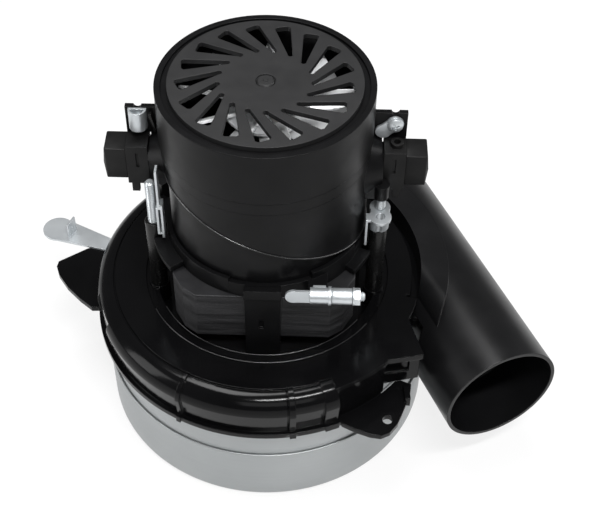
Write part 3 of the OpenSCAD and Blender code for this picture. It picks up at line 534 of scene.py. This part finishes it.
def softened(node: str, name: str, width: float, crease: float = 33) -> bpy.types.Object:
    """A copy of a CAD node with its corners rounded over.

    Args:
        node: The CAD node.
        name: Name of the copy.
        width: Width of the round.
        crease: Angle past which an edge is rounded, in degrees.

    Returns:
        The copy, with a live Bevel modifier.
    """
    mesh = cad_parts[node].data.copy()
    work = bmesh.new()
    work.from_mesh(mesh)
    bmesh.ops.remove_doubles(work, verts=work.verts, dist=WELD)
    bmesh.ops.dissolve_limit(work, angle_limit=FLAT, verts=work.verts, edges=work.edges)
    work.to_mesh(mesh)
    work.free()
    mesh.polygons.foreach_set("use_smooth", np.ones(len(mesh.polygons), bool))
    mesh.materials.clear()
    piece = stand(name, mesh)
    bevel = piece.modifiers.new("round", "BEVEL")
    bevel.width = width
    bevel.segments = 2
    bevel.limit_method = "ANGLE"
    bevel.angle_limit = math.radians(crease)
    bevel.harden_normals = True
    return piece


# Sub-assemblies


class Assembly:
    """Work that all sub-assemblies share. The sizes that each one needs are its fields."""

    body: Body = Body.MOTOR

    def build(self) -> None:
        """Makes and finishes the pieces, in each sub-assembly's own way."""
        raise NotImplementedError

    def dress(self, finish: Finish, *nodes: str) -> None:
        """Gives CAD nodes a finish.

        Args:
            finish: The finish.
            nodes: Names of the nodes.
        """
        for node in nodes:
            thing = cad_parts[node]
            if not thing.material_slots:
                thing.data.materials.append(None)
            for slot in thing.material_slots:
                slot.material = finish.material()
            LOG.info("%s keeps its CAD shape, in %s", node, finish.slot)

    def hand_over(self, piece: bpy.types.Object, finish: Finish, *nodes: str) -> bpy.types.Object:
        """Finishes a new piece and lets it ride on this sub-assembly's body.

        Args:
            piece: The piece.
            finish: Its finish.
            nodes: CAD nodes that it stands for.

        Returns:
            The piece.
        """
        piece.data.materials.append(finish.material())
        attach(piece, self.body.value)
        if nodes:
            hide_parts(*nodes)
        LOG.info("%s on %s, %d faces, for %s", piece.name, self.body.value, len(piece.data.polygons),
                 ", ".join(nodes) or "nothing in the frame")
        return piece

    def soften(self, finish: Finish, width: float, *nodes: str) -> None:
        """Stands rounded copies in for CAD nodes.

        Args:
            finish: Their finish.
            width: Width of the rounds.
            nodes: The nodes.
        """
        for node in nodes:
            self.hand_over(softened(node, f"{node}_body", width), finish, node)


@dataclass
class FanCase(Assembly):
    """The two drawn shells of the fan case, with the fixed stages and the seal inside them.

    Attributes:
        outer: Radius of the lower shell.
        upper: Radius of the upper shell.
        wall: Thickness of the steel.
        seam: Height of the lower shell's rim.
        top: Height of the upper shell's top.
        nest: How deep the upper shell sits in the lower one.
        flange: How far the upper shell reaches in at its top.
        corner: Outer radius of the lower shell's corner.
        turn_in: Outer radius of the upper shell's corner.
        inlet: Radius of the air inlet.
        lip: Height of the neck round the inlet.
        neck: Radius of the bend into the neck.
    """

    outer: float = 0.0724
    upper: float = 0.07145
    wall: float = 0.0009
    seam: float = 0.031
    top: float = 0.0504
    nest: float = 0.003
    flange: float = 0.006
    corner: float = 0.003
    turn_in: float = 0.0012
    inlet: float = 0.019
    lip: float = 0.0034
    neck: float = 0.001

    def lower_profile(self) -> Grid:
        """The lower shell's section: a cup with a round corner, a round rim and a neck round the inlet.

        Returns:
            Radius and height of each row.
        """
        wall, half = self.wall, self.wall / 2
        inside = self.corner - wall
        return np.concatenate([
            arc((self.inlet + half, half), half, 180, 270, 4),
            arc((self.outer - self.corner, self.corner), self.corner, -90, 0, 9),
            arc((self.outer - half, self.seam - half), half, 0, 180, 7),
            arc((self.outer - self.corner, self.corner), inside, 0, -90, 7),
            arc((self.inlet + wall + self.neck, wall + self.neck), self.neck, 270, 180, 5),
            arc((self.inlet + half, self.lip - half), half, 0, 180, 7),
        ])

    def upper_profile(self) -> Grid:
        """The upper shell's section: a plain band that turns in at the top.

        Returns:
            Radius and height of each row.
        """
        wall, turn = self.wall, self.turn_in
        low, centre = self.seam - self.nest, (self.upper - turn, self.top - turn)
        return np.concatenate([
            [[self.upper, low]],
            arc(centre, turn, 0, 90, 6),
            [[self.upper - self.flange, self.top], [self.upper - self.flange, self.top - wall]],
            arc(centre, turn - wall, 90, 0, 4),
            [[self.upper - wall, low]],
        ])

    def build(self) -> None:
        """Builds both shells and dresses the stages inside."""
        self.hand_over(put("case_lower", lathe(self.lower_profile()), ring=True), DRAWN_STEEL,
                       "fan_shell_lower")
        self.hand_over(put("case_upper", lathe(self.upper_profile()), ring=True), DRAWN_STEEL,
                       "fan_shell_upper")
        self.dress(FAN_ALLOY, "diffuser_1", "diffuser_2")
        self.dress(SEAL_PLASTIC, "air_seal")


@dataclass
class AirMouldings(Assembly):
    """The fan bracket on top of the case and the discharge horn beside it.

    Attributes:
        well: Radius of the well's edge.
        step: Radius of the edge of the step round the well.
        plate: Height of the top plate.
        step_depth: How far the step lies below the plate.
        line: Radius of the rounded lines.
        sunk: How far the middle of a line lies below its edge.
        around: First and last angle of the lines, in degrees.
        points: Points along a line.
    """

    well: float = 0.048
    step: float = 0.0528
    plate: float = 0.070
    step_depth: float = 0.001
    line: float = 0.00025
    sunk: float = 0.0001
    around: tuple[float, float] = (206, 322)
    points: int = 90

    def build(self) -> None:
        """Dresses both mouldings and lays the rounded lines on the edges of the well and its step, in a
        paler copy of the moulding that paints a highlight along them.
        """
        self.dress(BLACK_MOULDING, "fan_bracket")
        self.dress(HORN_MOULDING, "discharge_horn")
        for name, radius, height in (("well_edge", self.well, self.plate - self.step_depth),
                                     ("step_edge", self.step, self.plate)):
            edge = arc((0, 0), radius, *self.around, self.points)
            path = np.column_stack([edge, np.full(len(edge), height - self.sunk)])
            # The lines' paler tone is a painted highlight
            self.hand_over(put(name, bead(path, self.line)), PAINTED_HIGHLIGHT_EDGE)


@dataclass
class Rotor(Assembly):
    """Everything that turns: the shaft with its wheels, armature, commutator and cooling fan."""

    body: Body = Body.ROTOR

    def build(self) -> None:
        """Dresses the turning parts."""
        self.dress(FAN_ALLOY, "impeller_1", "impeller_2", "impeller_3")
        self.dress(SPACER_STEEL, "impeller_spacers")
        self.dress(GROUND_SHAFT, "shaft")
        self.dress(LAMINATED, "armature_core")
        self.dress(WIRE, "armature_windings")
        self.dress(COPPER, "commutator")
        # The cooling fan's near-white tone is partly painted light
        self.dress(COOLING_FAN_AND_PAINTED_LIGHT, "cooling_fan")
        self.dress(ZINC, "impeller_nut", "fan_nut")


@dataclass
class FieldStack(Assembly):
    """The laminated field core with its coils, plastic frame and cover.

    Attributes:
        half: Half of the core's width and half of its depth.
        inset: How far each corner of a quarter lies inside those.
        push: How much each corner moves out along X and Y.
        foot: Height of the core's underside.
        height: Height of the stack.
        sheet: Thickness of one sheet.
        round_over: How far a sheet's edge is rounded over.
        seam: Depth of the seams.
        uneven: How far one sheet stands out past another at most.
        proud: How far the sheets stand out of the CAD core.
        skin: How deep the inside of this piece lies.
    """

    half: tuple[float, float] = (0.037, 0.041)
    inset: tuple[tuple[float, float], ...] = ((0, 0.021), (0, 0.012), (0.0045, 0.004), (0.010, 0))
    push: tuple[tuple[float, float], ...] = ((1, 0), (1, 0), (1, 0.3), (1, 1))
    foot: float = 0.073
    height: float = 0.0245
    sheet: float = 0.0005
    round_over: float = 0.00006
    seam: float = 0.00009
    uneven: float = 0.00004
    proud: float = 0.0001
    skin: float = 0.0012

    def outline(self, grow: Grid) -> Grid:
        """The core's stepped outline at several sizes. Each corner is half the size less its inset, plus
        grow times its push, and the four quarters are mirror images.

        Args:
            grow: How far out each row reaches.

        Returns:
            A grid of rows by corners by 2.
        """
        quarter, out = np.array(self.half) - np.array(self.inset), np.array(self.push)
        signs = [(1, 1, 1), (-1, 1, -1), (-1, -1, 1), (1, -1, -1)]
        corners = np.concatenate([(quarter * [x, y])[::step] for x, y, step in signs])
        push = np.concatenate([(out * [x, y])[::step] for x, y, step in signs])
        return corners + np.asarray(grow)[:, None, None] * push

    def sheets(self) -> Grid:
        """The stack's outside as rows of thin sheets: two rows on each sheet's edge and one in each seam.

        Returns:
            A ring of rows that goes up outside and comes back inside the skin.
        """
        count = round(self.height / self.sheet)
        base = self.foot + self.sheet * np.arange(count)
        top = base + self.sheet
        level = np.stack([base + self.round_over, top - self.round_over, top], axis=1)
        uneven = np.random.default_rng(11).uniform(0, self.uneven, count)
        reach = np.stack([uneven, uneven, np.full(count, -self.seam)], axis=1)
        level, reach = level.ravel()[:-1], reach.ravel()[:-1] + self.proud
        level = np.concatenate([level, level[[-1, 0]]])
        reach = np.concatenate([reach, [-self.skin, -self.skin]])
        flat = self.outline(reach)
        height = np.broadcast_to(level[:, None, None], (*flat.shape[:2], 1))
        return placed(np.concatenate([flat, height], axis=-1), Matrix.Rotation(MOTOR_TURN, 4, "Z"))

    def build(self) -> None:
        """Builds the sheets' edges and dresses the rest."""
        self.hand_over(put("core_sheets", self.sheets(), ring=True, crease=20), LAMINATED)
        self.dress(LAMINATED, "field_core")
        self.dress(WIRE, "field_coil_left", "field_coil_right")
        self.dress(MOTOR_MOULDING, "field_frame", "field_cover")
        self.dress(BEARING_STEEL, "lower_bearing", "upper_bearing")


@dataclass
class Housing(Assembly):
    """The motor housing with its grille on top and the lip along its slanted edge, whose paler tone is a
    painted highlight.

    Attributes:
        radius: Radius of the housing.
        middle: Height of the slanted edge on the shaft's line.
        lip: Radius of the lip.
        slope: Slope of the edge.
        fall: Direction in which the edge falls.
    """

    radius: float = 0.0413
    middle: float = 0.1214
    lip: float = 0.00035
    slope: float = math.radians(21.3)
    fall: float = math.radians(6.2)

    def edge(self, steps: int = 240) -> Grid:
        """The slanted edge: its height is that on the shaft's line less the slope's tangent times the
        radius times the cosine of the turn, counted from the side where it lies lowest.

        Args:
            steps: Points round the housing.

        Returns:
            An array of steps by 3.
        """
        turn = np.linspace(0, 2 * np.pi, steps, endpoint=False)
        height = self.middle - math.tan(self.slope) * self.radius * np.cos(turn - self.fall)
        return np.stack([self.radius * np.cos(turn), self.radius * np.sin(turn), height], axis=1)

    def build(self) -> None:
        """Dresses the housing and the grille, and runs the lip round the slanted edge in a paler finish that
        paints a highlight on it.
        """
        self.dress(MOTOR_MOULDING, "motor_housing")
        # Painted highlight: the lip is paler than the housing round it
        self.hand_over(put("housing_lip", bead(self.edge(), self.lip), ring=True), PAINTED_HIGHLIGHT_EDGE)
        self.dress(GRILLE_PLASTIC, "top_grille", "grille_button")


@dataclass
class BrushGear(Assembly):
    """One side's brush holder with its cap, clip, screw, carbon and spring.

    Attributes:
        side: Its side of the motor.
        cap_round: Width of the round on the cap's corners.
    """

    side: Side = Side.LEFT
    cap_round: float = 0.0005

    def build(self) -> None:
        """Dresses this side's nodes and rounds the cap over."""
        tail = self.side.name.lower()
        self.dress(HOLDER_PLASTIC, f"brush_holder_{tail}")
        self.soften(HOLDER_PLASTIC, self.cap_round, f"brush_cap_{tail}")
        self.dress(ZINC, f"holder_clip_{tail}", f"clip_screw_{tail}")
        self.dress(SPRING_STEEL, f"brush_spring_{tail}")
        self.dress(CARBON, f"brush_{tail}")


@dataclass
class Post(Assembly):
    """One of the two long screws that hold the motor down, in its rubber sleeve.

    Attributes:
        side: Its side of the motor.
        out: Distance from the shaft along the motor's X.
        front: Place along the motor's Y.
        foot: Height of the lower end.
        top: Height of the upper end.
        thread_from: Height at which the thread starts.
        chamfer: Size of the chamfers.
        thread: The thread.
        sleeve_round: Width of the round on the sleeve's corners.
    """

    side: Side = Side.LEFT
    out: float = 0.0463
    front: float = -0.0088
    foot: float = 0.060
    top: float = 0.1290
    thread_from: float = 0.104
    chamfer: float = 0.0003
    thread: Thread = Thread(radius=0.0022, pitch=0.0010, ridge=0.00045, tip=0.0005, taper=0.0004)
    sleeve_round: float = 0.0003

    def screw(self) -> Grid:
        """The long screw: a chamfered foot, a plain shank and the thread.

        Returns:
            A grid in the frame of the whole object.
        """
        radius, shank = self.thread.radius, self.thread_from - self.thread.gap
        rows = np.concatenate([
            [[self.foot, radius - self.chamfer, 0], [self.foot + self.chamfer, radius, 0]],
            [[shank - self.chamfer, radius, 0], [shank, self.thread.core, 0]],
            self.thread.rows(self.thread_from, self.top),
        ])
        where = Matrix.Rotation(MOTOR_TURN, 4, "Z") @ Matrix.Translation(
            (self.side.value * self.out, self.front, 0))
        return placed(self.thread.rod(rows), where)

    def build(self) -> None:
        """Builds the screw with its thread and rounds the sleeve over."""
        tail = self.side.name.lower()
        self.hand_over(put(f"post_thread_{tail}", self.screw(), crease=50), ZINC, f"post_screw_{tail}")
        self.soften(SLEEVE_RUBBER, self.sleeve_round, f"post_sleeve_{tail}")


@dataclass
class LugClamp(Assembly):
    """The zinc clamp lug on the front of the field frame, with its screw, collar and nut.

    Attributes:
        front: Place of the screw along the motor's Y.
        height: Height of the screw.
        start: Near end of the screw along the motor's X.
        stop: Far end of the screw.
        thread: The thread.
        collar_radius: Radius of the collar.
        collar_edge: Radius of its edges.
        collar: Both ends of the collar along the motor's X.
    """

    front: float = -0.0452
    height: float = 0.1041
    start: float = 0.020
    stop: float = 0.0405
    thread: Thread = Thread(radius=0.002, pitch=0.0009, ridge=0.0004, tip=0.0004, taper=0.0005)
    collar_radius: float = 0.0033
    collar_edge: float = 0.0004
    collar: tuple[float, float] = (0.0273, 0.0355)

    def place(self) -> Matrix:
        """The lug's own place.

        Returns:
            A move whose Z runs out along the motor's X.
        """
        return (Matrix.Rotation(MOTOR_TURN, 4, "Z") @ Matrix.Translation((0, self.front, self.height))
                @ Matrix.Rotation(math.pi / 2, 4, "Y"))

    def build(self) -> None:
        """Builds the threaded screw and the collar, and dresses the lug and the nut."""
        rows = np.concatenate([
            [[self.start, self.thread.core, 0]],
            self.thread.rows(self.start + self.thread.gap, self.stop),
        ])
        screw = put("lug_thread", placed(self.thread.rod(rows), self.place()), crease=50)
        self.hand_over(screw, ZINC, "lug_screw")
        (low, high), edge, middle = self.collar, self.collar_edge, self.collar_radius - self.collar_edge
        section = np.concatenate([
            arc((middle, low + edge), edge, -90, 0, 4),
            arc((middle, high - edge), edge, 0, 90, 4),
            [[self.thread.radius, high], [self.thread.radius, low]],
        ])
        self.hand_over(put("lug_collar", placed(lathe(section, 48), self.place()), ring=True), ZINC)
        self.dress(ZINC, "lug_clamp", "lug_nut")


@dataclass
class Leads(Assembly):
    """The lead, the strips and the ground strap with its screw.

    Attributes:
        lead_round: Width of the round on the insulated lead's corners.
    """

    lead_round: float = 0.0003

    def build(self) -> None:
        """Rounds the insulated lead over and dresses the metal strips."""
        self.soften(SLEEVE_RUBBER, self.lead_round, "brush_lead_left")
        self.dress(ZINC, "lead_strip_left", "eyelet_bracket_right", "ground_strap", "ground_screw")


# Studio


@dataclass
class Studio:
    """A pale floor, plain soft lamps and the camera at the photograph's angle.

    Attributes:
        eye: Place of the camera.
        pitch: How far the camera looks down.
        yaw: How far it looks to the right.
        roll: How far it is turned about its line of sight.
        lens: Focal length, in millimetres.
        film: Width of the picture behind the lens, in millimetres.
        sky: Strength of the sky.
        lit: Point at which the lamps aim.
        floor_reach: Half of the floor's width.
        floor_drop: How far the floor lies below the object.
        floor_tone: Colour of the floor.
        floor_glow: Share of plain white that camera and mirror rays see.
    """

    eye: Axes = (0.0, -0.35963, 0.46815)
    pitch: float = 0.835181
    yaw: float = 0.039891
    roll: float = 0.020277
    lens: float = 73.32
    film: float = 36
    sky: float = 0.16
    lit: Axes = (0.01, -0.01, 0.08)
    floor_reach: float = 30.0
    floor_drop: float = 0.0004
    floor_tone: Colour = (0.82, 0.82, 0.82)
    floor_glow: float = 0.8

    def camera(self) -> None:
        """Turns the camera by yaw, then down by pitch, then about its own line of sight by roll."""
        ahead = Vector((math.sin(self.yaw) * math.cos(self.pitch),
                        math.cos(self.yaw) * math.cos(self.pitch), -math.sin(self.pitch)))
        right = Vector((math.cos(self.yaw), -math.sin(self.yaw), 0))
        up = right.cross(ahead)
        across = math.cos(self.roll) * right + math.sin(self.roll) * up
        upward = -math.sin(self.roll) * right + math.cos(self.roll) * up
        data = bpy.data.cameras.new("camera")
        data.lens, data.sensor_width = self.lens, self.film
        data.clip_start, data.clip_end = 0.01, 100
        thing = stand("camera", data)
        matrix = Matrix((across, upward, -ahead)).transposed().to_4x4()
        matrix.translation = self.eye
        thing.matrix_world = matrix
        bpy.context.scene.camera = thing

    def lamp(self, name: str, place: Axes, size: tuple[float, float], power: float) -> None:
        """Adds a soft rectangular lamp that looks at the middle of the object.

        Args:
            name: Name of the lamp.
            place: Where it hangs.
            size: Its width and height.
            power: Its power, in watts.
        """
        data = bpy.data.lights.new(name, "AREA")
        data.shape = "RECTANGLE"
        data.size, data.size_y = size
        data.energy = power
        thing = stand(name, data)
        thing.location = place
        aim = Vector(self.lit) - Vector(place)
        thing.rotation_mode = "QUATERNION"
        thing.rotation_quaternion = aim.to_track_quat("-Z", "Y")

    def floor(self) -> None:
        """A wide pale floor that keeps the object's shadow and looks white to camera and mirror rays."""
        reach, level = self.floor_reach, CAD_BOX[0].z - self.floor_drop
        mesh = bpy.data.meshes.new("floor")
        corners = [(-reach, -reach, level), (reach, -reach, level), (reach, reach, level),
                   (-reach, reach, level)]
        mesh.from_pydata(corners, [], [(0, 1, 2, 3)])
        thing = stand("floor", mesh)
        recipe = Recipe("pale_floor")
        recipe.set(Base_Color=self.floor_tone, Roughness=0.9, Specular_IOR_Level=0.1)
        glow = recipe.add("ShaderNodeEmission")
        glow.inputs["Color"].default_value = (1, 1, 1, 1)
        glow.inputs["Strength"].default_value = 1.0
        path = recipe.add("ShaderNodeLightPath")
        seen = path.outputs["Is Camera Ray"]
        for name in ("Is Glossy Ray", "Is Transmission Ray"):
            both = recipe.add("ShaderNodeMath")
            both.operation = "MAXIMUM"
            recipe.link(seen, both.inputs[0])
            recipe.link(path.outputs[name], both.inputs[1])
            seen = both.outputs[0]
        share = recipe.add("ShaderNodeMath")
        share.operation = "MULTIPLY"
        share.inputs[1].default_value = self.floor_glow
        recipe.link(seen, share.inputs[0])
        mix = recipe.add("ShaderNodeMixShader")
        recipe.link(share.outputs[0], mix.inputs[0])
        recipe.link(recipe.shader.outputs[0], mix.inputs[1])
        recipe.link(glow.outputs[0], mix.inputs[2])
        output = next(n for n in recipe.tree.nodes if n.type == "OUTPUT_MATERIAL")
        recipe.link(mix.outputs[0], output.inputs[0])
        mesh.materials.append(recipe.material)

    def build(self) -> None:
        """Builds the camera, the floor, the sky and the lamps."""
        scene = bpy.context.scene
        scene.view_settings.view_transform = "Standard"
        self.camera()
        self.floor()
        world = bpy.data.worlds.new("sky")
        world.use_nodes = True
        scene.world = world
        background = world.node_tree.nodes["Background"]
        background.inputs["Color"].default_value = (1, 1, 1, 1)
        background.inputs["Strength"].default_value = self.sky
        self.lamp("overhead", (-0.10, 0.12, 1.0), (0.5, 0.35), 7.0)
        self.lamp("left", (-1.0, -0.25, 0.55), (0.4, 0.8), 4.5)
        self.lamp("right", (1.0, 0.35, 0.6), (0.4, 0.8), 5.0)
        self.lamp("front", (0.1, -1.1, 0.9), (0.9, 0.5), 2.0)
        self.lamp("strip", (0.16, -0.42, 0.95), (0.50, 0.05), 8.5)


def main() -> None:
    """Builds the studio and each sub-assembly in order."""
    logging.basicConfig(level=logging.INFO, format="%(message)s")
    Studio().build()
    parts: list[Assembly] = [
        FanCase(), AirMouldings(), Rotor(), FieldStack(), Housing(),
        *(gear(side=side) for side in Side for gear in (BrushGear, Post)),
        LugClamp(), Leads(),
    ]
    for part in parts:
        part.build()


if __name__ == "__main__":
    main()
